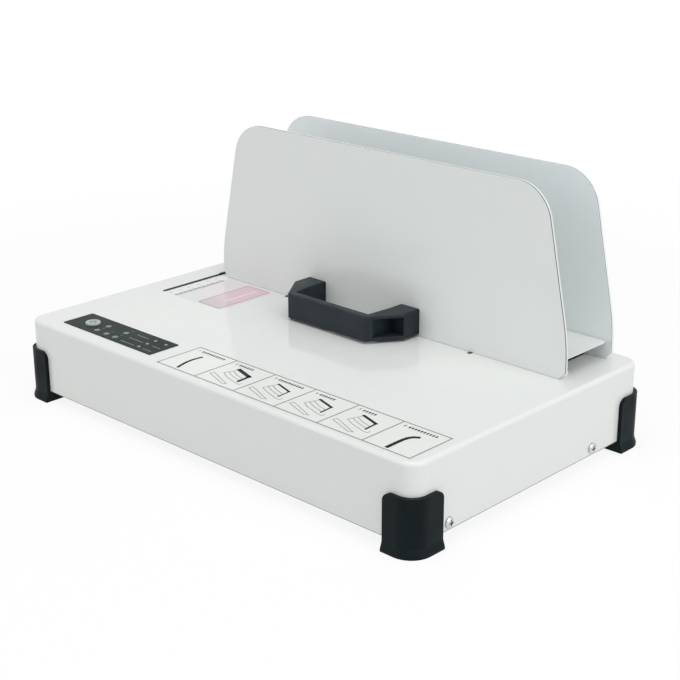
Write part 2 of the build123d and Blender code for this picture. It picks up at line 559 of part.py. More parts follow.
with BuildPart() as terminal_block:
    span_box(90, 126, -60, -51, SUPPLY_TOP, SUPPLY_TOP + 11)
    for x in (98, 108, 118):
        rod_y(x, SUPPLY_TOP + 5.4, -56, -50, 2.0, Mode.SUBTRACT)
        post(x, -55.5, SUPPLY_TOP + 8, SUPPLY_TOP + 12, 1.8, Mode.SUBTRACT)
save(terminal_block, "terminal_block", CREAM)

# ---- power inlet --------------------------------------------------------
back = CASE_D / 2
with BuildPart() as power_inlet:
    span_box(INLET_X - 14, INLET_X + 14, back - 21, back, INLET_Z - 10.2, INLET_Z + 10.2)
    with BuildSketch(Plane.XZ.offset(-back)):
        with Locations((INLET_X, INLET_Z)):
            RectangleRounded(50, 22.5, 5)
        with Locations((INLET_X - 20, INLET_Z), (INLET_X + 20, INLET_Z)):
            Circle(1.6, mode=Mode.SUBTRACT)
    extrude(amount=-2.6)
    with BuildSketch(Plane.XZ.offset(-back + 17)) as mouth:
        with Locations((INLET_X, INLET_Z)):
            Rectangle(INLET_W, INLET_H)
        chamfer(mouth.vertices().group_by(Axis.Y)[0], 4.5)
    extrude(amount=-20, mode=Mode.SUBTRACT)
save(power_inlet, "power_inlet", BLACK)

with BuildPart() as inlet_pins:
    for dx, dz in ((-7, 1.5), (7, 1.5), (0, -1.5)):
        span_box(INLET_X + dx - 1, INLET_X + dx + 1, back - 17, back - 3,
                 INLET_Z + dz - 1.7, INLET_Z + dz + 1.7)
    for dx in (-9, 0, 9):
        span_box(INLET_X + dx - 3, INLET_X + dx + 3, back - 31, back - 21, INLET_Z - 0.4, INLET_Z + 0.4)
save(inlet_pins, "inlet_pins", CHROME)

with BuildPart() as inlet_screws:
    with Locations(*[Location((INLET_X + dx, back + 2.6, INLET_Z), (-90, 0, 0)) for dx in (-20, 20)]):
        add(pan_screw(2.8, 1.8, 1.45, 8.0, cross=3.0))
save(inlet_screws, "inlet_screws", STEEL)

# ---- wiring -------------------------------------------------------------
with BuildPart() as wiring:
    for run in (
        [(159, 93, 30), (159, 70, 30), (152, 0, 20), (118, -44, 23), (118, -50.8, 23)],
        [(141, 93, 30), (141, 70, 30), (140, 0, 20), (108, -44, 23), (108, -50.8, 23)],
        [(5, 79, 33), (5, 60, 42), (5, -45.5, 42), (60, -45.5, 23), (98, -45.5, 23), (98, -50.8, 23)],
        [(-62, -99, 50.8), (-50, -99, 45), (40, -99, 22), (59, -99, 17)],
    ):
        with BuildLine() as path:
            FilletPolyline(*run, radius=4)
        with BuildSketch(path.line ^ 0):
            RegularPolygon(1.5, 10)
        sweep(path=path.line)
save(wiring, "wiring", BLACK)
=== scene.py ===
"""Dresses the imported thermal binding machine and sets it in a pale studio.

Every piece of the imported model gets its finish, the printed and moulded details of the
outside are modelled on to it, and the camera stands where the photograph was taken.
Sizes in the classes are millimetres in the part's own frame. MM turns them into metres.
"""

from __future__ import annotations

import logging
import math
from dataclasses import dataclass, field, replace
from enum import Enum
from typing import Callable, ClassVar, Sequence

import bmesh
import bpy
from mathutils import Matrix, Vector


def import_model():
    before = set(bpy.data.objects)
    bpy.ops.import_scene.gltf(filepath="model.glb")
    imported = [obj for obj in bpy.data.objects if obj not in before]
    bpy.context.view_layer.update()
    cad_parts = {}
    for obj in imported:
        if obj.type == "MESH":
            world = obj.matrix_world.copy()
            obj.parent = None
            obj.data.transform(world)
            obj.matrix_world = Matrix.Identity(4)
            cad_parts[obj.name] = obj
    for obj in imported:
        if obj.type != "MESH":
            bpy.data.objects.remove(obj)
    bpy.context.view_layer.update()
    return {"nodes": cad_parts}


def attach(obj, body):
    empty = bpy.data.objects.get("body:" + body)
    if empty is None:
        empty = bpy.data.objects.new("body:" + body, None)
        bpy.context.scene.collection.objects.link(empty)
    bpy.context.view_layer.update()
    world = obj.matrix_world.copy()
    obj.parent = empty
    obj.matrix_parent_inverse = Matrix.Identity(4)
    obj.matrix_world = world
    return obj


MM = 0.001
MERGE = 0.002            # points nearer than this are one
CORNER_STEPS = 5         # segments of a sheet's rounded corner
TYPE_STEPS = 4           # segments of a curve in a printed number
LOG = logging.getLogger("binding_machine")

Spot = tuple[float, float]
Span = tuple[float, float]
Colour = tuple[float, float, float, float]
Piece = bpy.types.Object
Material = bpy.types.Material
Node = bpy.types.Node
NodeTree = bpy.types.NodeTree
Socket = bpy.types.NodeSocket


def linear(shade: str) -> Colour:
    """Turns a screen colour into the linear colour that a shader takes.

    Args:
        shade: six hexadecimal digits, such as "e5e8e3".

    Returns:
        Red, green, blue and a full alpha.
    """
    parts = [int(shade[i:i + 2], 16) / 255 for i in (0, 2, 4)]
    red, green, blue = (c / 12.92 if c < 0.04045 else ((c + 0.055) / 1.055) ** 2.4 for c in parts)
    return red, green, blue, 1.0


# ---- node trees -----------------------------------------------------------


class Graph:
    """Short calls that add nodes to one node tree and link them."""

    def __init__(self, tree: NodeTree) -> None:
        """Keeps the tree that the nodes go into."""
        self.tree = tree

    def feed(self, socket: Socket, value: object) -> None:
        """Links a socket to another one, or sets its plain value.

        Args:
            socket: the input.
            value: an output socket, a number, a vector or a colour.
        """
        if isinstance(value, Socket):
            self.tree.links.new(value, socket)
        else:
            socket.default_value = value

    def add(self, kind: str, inputs: dict[str, object] | None = None,
            **settings: object) -> Node:
        """Adds one shader node.

        Args:
            kind: the node's type without its ShaderNode prefix.
            inputs: values or sockets for the named inputs.
            settings: the node's own properties.

        Returns:
            The new node.
        """
        node = self.tree.nodes.new("ShaderNode" + kind)
        for key, value in settings.items():
            setattr(node, key, value)
        for key, value in (inputs or {}).items():
            self.feed(node.inputs[key], value)
        return node

    def effect(self, effect: Effect, **inputs: object) -> Node:
        """Places a shared effect.

        Args:
            effect: which one.
            inputs: values or sockets for its inputs.

        Returns:
            The group node.
        """
        return self.add("Group", inputs, node_tree=effect.tree())

    def mix(self, mask: object, first: object, second: object) -> Socket:
        """Blends two colours by a mask and returns the result."""
        node = self.add("Mix", data_type="RGBA")
        for index, value in ((0, mask), (6, first), (7, second)):
            self.feed(node.inputs[index], value)
        return node.outputs[2]

    def math(self, operation: str, first: object, second: object = 0.0) -> Socket:
        """Does one sum on two numbers and returns the result."""
        node = self.add("Math", operation=operation)
        self.feed(node.inputs[0], first)
        self.feed(node.inputs[1], second)
        return node.outputs[0]

    def span(self, value: object, low: float, high: float, to_low: object,
             to_high: object) -> Socket:
        """Carries a value from one range to another, held at both ends."""
        node = self.add("MapRange", {
            "Value": value, "From Min": low, "From Max": high, "To Min": to_low, "To Max": to_high})
        return node.outputs[0]

    def place(self) -> Socket:
        """Returns the surface point in the part's frame."""
        return self.add("TexCoord").outputs["Object"]


class Effect(Enum):
    """The surface effects that several finishes share, each one a node group."""

    GRAIN = "surface_grain"
    PATINA = "handled_gloss"
    EDGES = "edge_wear"
    DUST = "settled_dust"
    WEAVE = "woven_cloth"
    HOLLOW = "shut_in_hollows"

    def tree(self) -> NodeTree:
        """Returns the node group, and builds it on the first call."""
        group = bpy.data.node_groups.get(self.value)
        if group is None:
            group = bpy.data.node_groups.new(self.value, "ShaderNodeTree")
            inputs, outputs, fill = {
                Effect.GRAIN: ({"Scale": 500.0, "Detail": 2.0, "Stretch": (1.0, 1.0, 1.0)},
                               {"Height": 0.0}, EffectGraph.grain),
                Effect.PATINA: ({"Scale": 12.0, "Low": 0.0, "High": 1.0}, {"Value": 0.0},
                                EffectGraph.patina),
                Effect.EDGES: ({"Radius": 0.0006, "Gain": 2.0, "Breakup": 300.0},
                               {"Mask": 0.0, "Normal": (0.0, 0.0, 0.0)}, EffectGraph.edges),
                Effect.DUST: ({"Amount": 0.2, "Scale": 60.0}, {"Mask": 0.0}, EffectGraph.dust),
                Effect.WEAVE: ({"Pitch": 0.0012}, {"Height": 0.0}, EffectGraph.weave),
                Effect.HOLLOW: ({"Reach": 0.001, "Amount": 0.5}, {"Mask": 0.0}, EffectGraph.hollow),
            }[self]
            for side, sockets in (("INPUT", inputs), ("OUTPUT", outputs)):
                for name, start in sockets.items():
                    kind = "NodeSocketVector" if isinstance(start, tuple) else "NodeSocketFloat"
                    socket = group.interface.new_socket(name=name, in_out=side, socket_type=kind)
                    socket.default_value = start
            fill(EffectGraph(group))
        return group


class EffectGraph(Graph):
    """The inside of one effect: the nodes between its group's inputs and outputs."""

    drift_ramp: ClassVar[Span] = (0.32, 0.68)
    broken_ramp: ClassVar[Span] = (0.35, 0.65)
    least_wear: ClassVar[float] = 0.25
    upward_ramp: ClassVar[Span] = (0.45, 0.95)
    dust_ramp: ClassVar[Span] = (0.4, 0.72)
    shut_ramp: ClassVar[Span] = (0.25, 0.8)

    def __init__(self, group: NodeTree) -> None:
        """Adds the nodes that hold the group's inputs and outputs."""
        super().__init__(group)
        self.entry = group.nodes.new("NodeGroupInput").outputs
        self.leave = group.nodes.new("NodeGroupOutput").inputs

    def noise(self, scale: object, detail: object, **more: object) -> Socket:
        """Adds noise over the surface and returns its height."""
        inputs = {"Vector": self.place(), "Scale": scale, "Detail": detail, **more}
        return self.add("TexNoise", inputs).outputs[0]

    def grain(self) -> None:
        """Lays fine relief: noise that can be drawn out along an axis."""
        drawn = self.add("VectorMath", {0: self.place(), 1: self.entry["Stretch"]},
                         operation="MULTIPLY").outputs[0]
        noise = self.add("TexNoise", {"Vector": drawn, "Scale": self.entry["Scale"],
                                      "Detail": self.entry["Detail"], "Roughness": 0.6})
        self.feed(self.leave["Height"], noise.outputs[0])

    def patina(self) -> None:
        """Lays a slow drift between two values, as hands and cloths leave it."""
        noise = self.noise(self.entry["Scale"], 4.0, Roughness=0.55, Distortion=0.4)
        drift = self.span(noise, *self.drift_ramp, self.entry["Low"], self.entry["High"])
        self.feed(self.leave["Value"], drift)

    def edges(self) -> None:
        """Lays a broken mask on worn edges, and a normal that rounds them."""
        soft = self.add("Bevel", {"Radius": self.entry["Radius"]}, samples=4).outputs[0]
        flat = self.add("NewGeometry").outputs["Normal"]
        facing = self.add("VectorMath", {0: soft, 1: flat}, operation="DOT_PRODUCT")
        turned = self.math("SUBTRACT", 1.0, facing.outputs["Value"])
        turned = self.math("MULTIPLY", turned, self.entry["Gain"])
        broken = self.span(self.noise(self.entry["Breakup"], 3.0), *self.broken_ramp,
                           self.least_wear, 1.0)
        mask = self.add("Clamp", {"Value": self.math("MULTIPLY", turned, broken)})
        self.feed(self.leave["Mask"], mask.outputs[0])
        self.feed(self.leave["Normal"], soft)

    def dust(self) -> None:
        """Lays fine dust on what faces up."""
        up = self.add("SeparateXYZ", {0: self.add("NewGeometry").outputs["Normal"]}).outputs["Z"]
        noise = self.noise(self.entry["Scale"], 6.0, Roughness=0.7)
        lying = self.math("MULTIPLY", self.span(up, *self.upward_ramp, 0.0, 1.0),
                          self.span(noise, *self.dust_ramp, 0.0, 1.0))
        self.feed(self.leave["Mask"], self.math("MULTIPLY", lying, self.entry["Amount"]))

    def weave(self) -> None:
        """Lays the over and under of a plain weave on a level sheet."""
        point = self.add("SeparateXYZ", {0: self.place()}).outputs
        turns = [self.math("MULTIPLY", point[axis], math.tau) for axis in ("X", "Y")]
        waves = [self.math("SINE", self.math("DIVIDE", turn, self.entry["Pitch"]))
                 for turn in turns]
        height = self.span(self.math("MULTIPLY", *waves), -1.0, 1.0, 0.0, 1.0)
        self.feed(self.leave["Height"], height)

    def hollow(self) -> None:
        """Lays a mask of painted shade, from ambient occlusion, on recesses and on the line where one
        piece meets another.
        """
        light = self.add("AmbientOcclusion", {"Distance": self.entry["Reach"]}, samples=6)
        painted_shade = self.span(light.outputs["AO"], *self.shut_ramp, 1.0, 0.0)
        self.feed(self.leave["Mask"], self.math("MULTIPLY", painted_shade, self.entry["Amount"]))


# ---- finishes -------------------------------------------------------------


@dataclass(frozen=True)
class Finish:
    """One finish: two tones that drift into each other, a gloss range, relief and wear, and on some
    painted shade in its hollows.
    """

    name: str
    slot: str
    shade: str
    tint: str
    gloss: Span
    worn: str = "c9cbc9"
    wear: float = 0.0
    edge: float = 0.5
    dust: float = 0.0
    dust_shade: str = "b9b6ad"
    # painted shade in hollows: how strong it is, how far it reaches in millimetres, and its colour
    hollow: float = 0.0
    hollow_reach: float = 1.5
    hollow_shade: str = "0c0f11"
    relief: float = 0.1
    relief_scale: float = 500.0
    depth: float = 0.05
    drawn: tuple[float, float, float] = (1.0, 1.0, 1.0)
    drift: float = 9.0
    metallic: float = 0.0
    specular: float = 0.5
    ior: float = 1.5
    coat: float = 0.0

    coat_gloss: ClassVar[float] = 0.12
    wear_gain: ClassVar[float] = 2.6
    gloss_drift: ClassVar[float] = 2.3
    dust_dulling: ClassVar[float] = 0.4

    def material(self) -> Material:
        """Returns the finish's material, and builds it on the first call."""
        title = self.name + "_finish"
        made = bpy.data.materials.get(title)
        if made is None:
            made = bpy.data.materials.new(title)
            made.use_nodes = True
            made.node_tree.nodes.clear()
            graph = Graph(made.node_tree)
            shader = graph.add("BsdfPrincipled", {
                "Metallic": self.metallic, "Specular IOR Level": self.specular, "IOR": self.ior,
                "Coat Weight": self.coat, "Coat Roughness": self.coat_gloss})
            graph.add("OutputMaterial", {"Surface": shader.outputs[0]})
            self.lay(graph, shader)
        return made

    def lay(self, graph: Graph, shader: Node) -> None:
        """Feeds colour, roughness and relief to the shader.

        Args:
            graph: the material's tree.
            shader: its Principled node.
        """
        edges = graph.effect(Effect.EDGES, Radius=self.edge * MM, Gain=self.wear_gain * self.wear)
        dust = graph.effect(Effect.DUST, Amount=self.dust)
        colour = graph.mix(edges.outputs["Mask"], self.tone(graph), linear(self.worn))
        colour = graph.mix(dust.outputs["Mask"], colour, linear(self.dust_shade))
        # painted shade: the colour darkens in recesses and where pieces meet, standing in for shade
        if self.hollow:
            painted_shade = graph.effect(Effect.HOLLOW, Reach=self.hollow_reach * MM, Amount=self.hollow)
            colour = graph.mix(painted_shade.outputs["Mask"], colour, linear(self.hollow_shade))
        rough = graph.effect(Effect.PATINA, Scale=self.gloss_drift * self.drift,
                             Low=self.gloss[0], High=self.gloss[1])
        dulling = graph.math("MULTIPLY", dust.outputs["Mask"], self.dust_dulling)
        dulled = graph.math("ADD", rough.outputs[0], dulling)
        bump = graph.add("Bump", {
            "Strength": self.relief, "Distance": self.depth * MM, "Height": self.height(graph),
            "Normal": edges.outputs["Normal"]})
        graph.feed(shader.inputs["Base Color"], colour)
        graph.feed(shader.inputs["Roughness"], dulled)
        graph.feed(shader.inputs["Normal"], bump.outputs[0])

    def tone(self, graph: Graph) -> Socket:
        """Returns the colour before wear and dust."""
        drift = graph.effect(Effect.PATINA, Scale=self.drift)
        return graph.mix(drift.outputs[0], linear(self.shade), linear(self.tint))

    def height(self, graph: Graph) -> Socket:
        """Returns the relief's height."""
        grain = graph.effect(Effect.GRAIN, Scale=self.relief_scale, Stretch=self.drawn)
        return grain.outputs[0]


@dataclass(frozen=True)
class Woven(Finish):
    """A cloth-faced sheet: the weave shows in its relief and darkens its hollows."""

    pitch: float = 1.2

    def tone(self, graph: Graph) -> Socket:
        """Returns the thread colour, darker between threads."""
        weave = graph.effect(Effect.WEAVE, Pitch=self.pitch * MM)
        return graph.mix(weave.outputs[0], linear(self.tint), linear(self.shade))

    def height(self, graph: Graph) -> Socket:
        """Returns the weave's height."""
        return graph.effect(Effect.WEAVE, Pitch=self.pitch * MM).outputs[0]


@dataclass(frozen=True)
class Tracked(Finish):
    """A lacquered circuit board with paler tracks under the lacquer."""

    track: str = "2f7a4c"

    def tone(self, graph: Graph) -> Socket:
        """Returns the board's green with its tracks."""
        bricks = graph.add("TexBrick", {
            "Vector": graph.place(), "Scale": 46.0, "Mortar Size": 0.018, "Mortar Smooth": 0.1,
            "Brick Width": 0.62, "Row Height": 0.24})
        return graph.mix(bricks.outputs["Fac"], super().tone(graph), linear(self.track))


@dataclass(frozen=True)
class Laminated(Finish):
    """Stacked iron sheets with a taped winding between their ends."""

    tape: str = "c79b38"
    core: Span = (122.0, 142.0)
    slack: float = 0.1

    def tone(self, graph: Graph) -> Socket:
        """Returns iron between the core's faces and tape outside them."""
        across = graph.add("SeparateXYZ", {0: graph.place()}).outputs["X"]
        middle, half = sum(self.core) / 2 * MM, (self.core[1] - self.core[0]) / 2 * MM
        away = graph.math("ABSOLUTE", graph.math("SUBTRACT", across, middle))
        outside = graph.math("GREATER_THAN", away, half + self.slack * MM)
        return graph.mix(outside, super().tone(graph), linear(self.tape))

    def height(self, graph: Graph) -> Socket:
        """Returns the edges of the stacked sheets."""
        wave = graph.add("TexWave", {"Vector": graph.place(), "Scale": 310.0, "Distortion": 0.4},
                         bands_direction="X")
        return wave.outputs["Fac"]


@dataclass(frozen=True)
class Shaded(Finish):
    """A bare film whose tone runs from one corner to the opposite one."""

    start: Spot = (0.0, 0.0)
    end: Spot = (1.0, 1.0)
    unevenness: float = 0.18

    def tone(self, graph: Graph) -> Socket:
        """Returns the run of colour along the line from start to end, a little uneven."""
        start, along = Vector(self.start) * MM, (Vector(self.end) - Vector(self.start)) * MM
        point = graph.add("VectorMath", {0: graph.place(), 1: (*start, 0.0)},
                          operation="SUBTRACT")
        step = along / along.length_squared
        share = graph.add("VectorMath", {0: point.outputs[0], 1: (*step, 0.0)},
                          operation="DOT_PRODUCT").outputs["Value"]
        uneven = graph.effect(Effect.PATINA, Scale=60.0, Low=-self.unevenness,
                              High=self.unevenness).outputs[0]
        run = graph.add("Clamp", {"Value": graph.math("ADD", share, uneven)}).outputs[0]
        return graph.mix(run, linear(self.shade), linear(self.tint))


@dataclass(frozen=True)
class HotPlate(Finish):
    """A dark non-stick coat with a thin amber trace of melted glue down its middle."""

    glue: str = "8a6a35"
    line: float = 84.0
    reach: Span = (4.0, 13.0)
    spot_scale: float = 130.0
    spot_ramp: Span = (0.52, 0.66)
    most: float = 0.7

    def tone(self, graph: Graph) -> Socket:
        """Returns the coat, with glue where spines have stood."""
        place = graph.place()
        depth = graph.add("SeparateXYZ", {0: place}).outputs["Y"]
        away = graph.math("ABSOLUTE", graph.math("SUBTRACT", depth, self.line * MM))
        band = graph.span(away, self.reach[0] * MM, self.reach[1] * MM, 1.0, 0.0)
        spots = graph.add("TexNoise", {"Vector": place, "Scale": self.spot_scale, "Detail": 5.0})
        drops = graph.span(spots.outputs[0], *self.spot_ramp, 0.0, self.most)
        trace = graph.math("MULTIPLY", band, drops)
        return graph.mix(trace, super().tone(graph), linear(self.glue))


@dataclass(frozen=True)
class Seamed(Finish):
    """Painted sheet with painted shade: darker bands along one axis that stand in for the shade in
    the plates' folded edges and under the case's lower edge.
    """

    axis: str = "Y"
    seams: tuple[Span, ...] = ((52.75, 53.75), (108.75, 109.75))
    seam_shade: str = "7f8789"

    def tone(self, graph: Graph) -> Socket:
        """Returns the paint with painted shade in the bands along the axis."""
        place = graph.add("SeparateXYZ", {0: graph.place()}).outputs[self.axis]
        colour = super().tone(graph)
        for start, end in self.seams:
            inside = graph.math("MULTIPLY", graph.math("GREATER_THAN", place, start * MM),
                                graph.math("LESS_THAN", place, end * MM))
            colour = graph.mix(inside, colour, linear(self.seam_shade))
        return colour


class Look(Enum):
    """The finishes of this machine."""

    # the plates' paint carries dark painted shade lines along their folded edges
    PLATE_PAINT = Seamed(
        "plate_paint", "white_paint", "e6e9e8", "e2e6e5", (0.16, 0.22), worn="f2f4f3", wear=0.3,
        edge=0.3, dust=0.04, relief_scale=620.0, depth=0.02, drift=4.0)
    # the rear plate's paint: a lighter, bluer copy of the plate paint, painted light that makes up
    # for the shade between the plates
    INNER_PAINT = replace(
        PLATE_PAINT, name="lit_rear_paint", shade="f0f5f6", tint="edf3f5", seam_shade="b9c0c2")
    # the case paint carries a dark painted shade line along its lower edge, standing in for the
    # shadow under it
    CASE_PAINT = replace(
        PLATE_PAINT, name="case_paint", shade="e8eae8", tint="e5e8e6", gloss=(0.09, 0.14),
        worn="f2f4f1", wear=0.2, edge=0.9, drift=5.0, axis="Z", seams=((8.4, 9.1),),
        seam_shade="a7a9a6")
    # painted shade darkens the handle's pocket and other recesses, up to 9 mm in
    MOULDED_BLACK = Finish(
        "moulded_black", "black_plastic", "141e25", "1c272e", (0.42, 0.55), worn="56626a",
        wear=0.25, edge=0.6, dust=0.12, dust_shade="87918f", relief=0.35, relief_scale=2400.0,
        depth=0.06, drift=30.0, specular=0.3, hollow=0.75, hollow_reach=9.0, hollow_shade="05090c")
    FOOT_BLACK = replace(
        MOULDED_BLACK, name="moulded_foot", shade="091316", tint="101b1e", gloss=(0.42, 0.56),
        worn="4a5153", edge=0.5, dust=0.08, dust_shade="7c817e", specular=0.5, ior=1.2, hollow=0.0)
    ZINC = Finish(
        "zinc_plate", "zinc_steel", "a9abac", "bfc2c4", (0.3, 0.46), worn="d8dadb", wear=0.6,
        edge=0.4, dust=0.1, relief=0.2, relief_scale=900.0, drift=22.0, drawn=(1.0, 0.25, 1.0),
        metallic=1.0)
    # painted shade darkens the screws' cross recesses and where their heads meet the sheet
    SCREW = Finish(
        "screw_plate", "screw_steel", "d9dad9", "c4c6c7", (0.18, 0.3), worn="e2e4e6", wear=0.5,
        edge=0.25, dust=0.05, relief=0.25, relief_scale=1800.0, drift=160.0, metallic=1.0,
        hollow=0.9)
    CHROME = Finish(
        "ground_chrome", "rod_chrome", "c9cbcd", "bfc1c4", (0.1, 0.18), worn="e6e8ea", wear=0.4,
        edge=0.3, relief=0.1, relief_scale=900.0, drift=20.0, drawn=(1.0, 0.05, 1.0), metallic=1.0)
    BRONZE = Finish(
        "sintered_bronze", "bush_bronze", "a87f43", "8e6a37", (0.34, 0.5), worn="cfa768", wear=0.6,
        edge=0.3, relief=0.4, relief_scale=2600.0, drift=90.0, metallic=1.0)
    SLIDE = Finish(
        "slide_plastic", "slide_plastic", "686c6d", "5e6264", (0.4, 0.55), worn="8b8e90", wear=0.3,
        edge=0.4, dust=0.1, relief=0.3, relief_scale=1800.0, drift=50.0)
    HOT_PLATE = HotPlate(
        "hot_plate", "coated_aluminium", "26282a", "303336", (0.38, 0.52), worn="6b6d6f", wear=0.5,
        edge=0.5, relief=0.3, relief_scale=1500.0, drift=25.0)
    INSULATION = Woven(
        "insulation_board", "insulation", "d8cfb2", "b5ab8c", (0.8, 0.92), relief=0.5, depth=0.15,
        pitch=1.6)
    HEATING_MAT = Woven(
        "heating_mat", "heating_mat", "8f3a22", "6b2817", (0.55, 0.7), relief=0.4, depth=0.1,
        pitch=0.9)
    BOARD = Tracked(
        "circuit_board", "circuit_board", "17492e", "1d5637", (0.24, 0.36), relief=0.15, coat=0.3)
    PANEL_FILM = Finish(
        "panel_film", "panel_film", "263230", "2d3836", (0.2, 0.28), worn="5a615f", wear=0.3,
        edge=0.25, dust=0.04, dust_shade="8f948f", relief=0.15, relief_scale=2600.0, depth=0.02,
        drift=60.0, ior=1.09)
    KEY = Finish(
        "key_cap", "key_grey", "b4bcbb", "a9b2b1", (0.3, 0.42), worn="d5dad9", wear=0.5, edge=0.3,
        dust=0.08, relief=0.15, relief_scale=2000.0, drift=90.0)
    LAMP = Finish(
        "lamp_body", "lamp_red", "8e2c25", "a4382e", (0.12, 0.2), relief=0.05, drift=300.0,
        coat=0.4)
    LENS = replace(LAMP, name="lamp_lens", shade="858b86", tint="757b76", drift=400.0, coat=0.3)
    CREAM = Finish(
        "terminal_cream", "terminal_cream", "d3ccb4", "c7bfa5", (0.4, 0.52), worn="e6e0cc",
        wear=0.3, edge=0.3, relief=0.2, relief_scale=1500.0, drift=60.0)
    CORE = Laminated(
        "transformer_core", "transformer_core", "5c5648", "48443a", (0.4, 0.55), relief=0.6,
        depth=0.12, drift=60.0)
    STRIP_FILM = Finish(
        "strip_film", "white_paint", "eaece9", "e7eae7", (0.12, 0.18), edge=0.12, wear=0.2,
        relief=0.08, relief_scale=900.0, depth=0.02)
    LABEL_FILM = Shaded(
        "label_film", "white_paint", "dcdfdd", "eadce1", (0.1, 0.16), edge=0.12,
        relief_scale=260.0, depth=0.02, start=(-156.0, -6.0), end=(-118.0, 40.0))
    LABEL_PATCH = replace(
        LABEL_FILM, name="label_patch", shade="bebcbe", tint="e2c5ce", relief=0.12,
        start=(-124.0, -7.0), end=(-118.0, 13.0))
    LABEL_RIM = replace(LABEL_PATCH, name="label_rim", shade="aaa8aa", tint="cdabb5")
    INK_BLACK = Finish(
        "ink_black", "panel_film", "1f2425", "282d2e", (0.3, 0.4), relief_scale=1800.0,
        drift=220.0, ior=1.1)
    INK_GREY = replace(
        INK_BLACK, name="ink_grey", shade="7e8482", tint="8e9492", drift=260.0, ior=1.12)
    INK_SOFT = replace(INK_GREY, name="ink_soft", shade="aeb3b1", tint="b9bdbb", ior=1.3)
    INK_PALE = replace(
        INK_GREY, name="ink_pale", slot="key_grey", shade="7f8a88", tint="6f7a79",
        gloss=(0.35, 0.5), drift=300.0, ior=1.5)

    def material(self) -> Material:
        """Returns this look's material."""
        return self.value.material()


# ---- modelling ------------------------------------------------------------


class Kind(Enum):
    """What a selection in edit mode is made of."""

    POINTS = "VERT"
    FACES = "FACE"


class EditMode:
    """Edit mode on the active object, for the length of a with block."""

    def __enter__(self) -> EditMode:
        """Goes into edit mode with nothing selected."""
        bpy.ops.object.mode_set(mode="EDIT")
        bpy.ops.mesh.select_all(action="DESELECT")
        return self

    def __exit__(self, *details: object) -> None:
        """Goes back to object mode."""
        bpy.ops.object.mode_set(mode="OBJECT")

    def pick(self, kind: Kind, test: Callable[[object], bool], within: bool = False) -> None:
        """Selects the points or faces that pass a test.

        Args:
            kind: what is selected.
            test: given one point or face, says whether it is wanted.
            within: looks only at what is selected already.
        """
        bpy.ops.mesh.select_mode(type=kind.value)
        mesh = bmesh.from_edit_mesh(bpy.context.object.data)
        parts = {Kind.POINTS: mesh.verts, Kind.FACES: mesh.faces}[kind]
        wanted = [part for part in parts if (part.select or not within) and test(part)]
        bpy.ops.mesh.select_all(action="DESELECT")
        for part in wanted:
            part.select_set(True)
        mesh.select_flush_mode()
        bmesh.update_edit_mesh(bpy.context.object.data)

    def all(self) -> None:
        """Selects everything."""
        bpy.ops.mesh.select_all(action="SELECT")

    def pull(self, x: float, y: float, z: float) -> None:
        """Extrudes the selection by a step in millimetres."""
        bpy.ops.mesh.extrude_region_move(
            TRANSFORM_OT_translate={"value": (x * MM, y * MM, z * MM)})

    def turn(self, angle: float, centre: Vector) -> None:
        """Turns the selection about an upright axis, counter-clockwise from above."""
        bpy.ops.transform.rotate(value=-angle, orient_axis="Z", center_override=centre)

    def stretch(self, factor: Sequence[float], centre: Vector) -> None:
        """Scales the selection from a fixed point."""
        bpy.ops.transform.resize(value=factor, center_override=centre)

    def face_out(self) -> None:
        """Merges doubled points and turns every face outwards."""
        self.all()
        bpy.ops.mesh.remove_doubles(threshold=MERGE * MM)
        bpy.ops.mesh.normals_make_consistent(inside=False)


def deselect() -> None:
    """Leaves nothing selected, so that an operator acts only on what it is given."""
    if bpy.context.object and bpy.context.object.mode != "OBJECT":
        bpy.ops.object.mode_set(mode="OBJECT")
    bpy.ops.object.select_all(action="DESELECT")


def apply_modifier(kind: str, **settings: object) -> None:
    """Adds one modifier to the active object and applies it.

    Args:
        kind: the modifier's type.
        settings: its properties.
    """
    modifier = bpy.context.object.modifiers.new(kind.title(), kind)
    for key, value in settings.items():
        setattr(modifier, key, value)
    bpy.ops.object.modifier_apply(modifier=modifier.name)


def settle(name: str) -> Piece:
    """Puts the active object's place into its mesh and names it.

    Args:
        name: the piece's name.

    Returns:
        The piece.
    """
    piece = bpy.context.object
    bpy.ops.object.transform_apply(location=True, rotation=True, scale=True)
    piece.name = piece.data.name = name
    return piece


def join(parts: Sequence[Piece], name: str) -> Piece:
    """Joins several objects into one piece.

    Args:
        parts: the objects.
        name: the piece's name.

    Returns:
        The piece.
    """
    deselect()
    for part in parts:
        part.select_set(True)
    bpy.context.view_layer.objects.active = parts[0]
    if len(parts) > 1:
        bpy.ops.object.join()
    return settle(name)


def repeat(piece: Piece, spots: Sequence[Spot], name: str) -> Piece:
    """Copies a piece from the origin to several spots, each copy with its own mesh.

    Args:
        piece: the model, over the origin.
        spots: X and Y of each copy.
        name: the joined piece's name.

    Returns:
        The joined piece.
    """
    parts = []
    for x, y in spots:
        deselect()
        piece.select_set(True)
        bpy.context.view_layer.objects.active = piece
        bpy.ops.object.duplicate()
        bpy.ops.transform.translate(value=(x * MM, y * MM, 0.0))
        parts.append(bpy.context.object)
    bpy.data.objects.remove(piece)
    return join(parts, name)


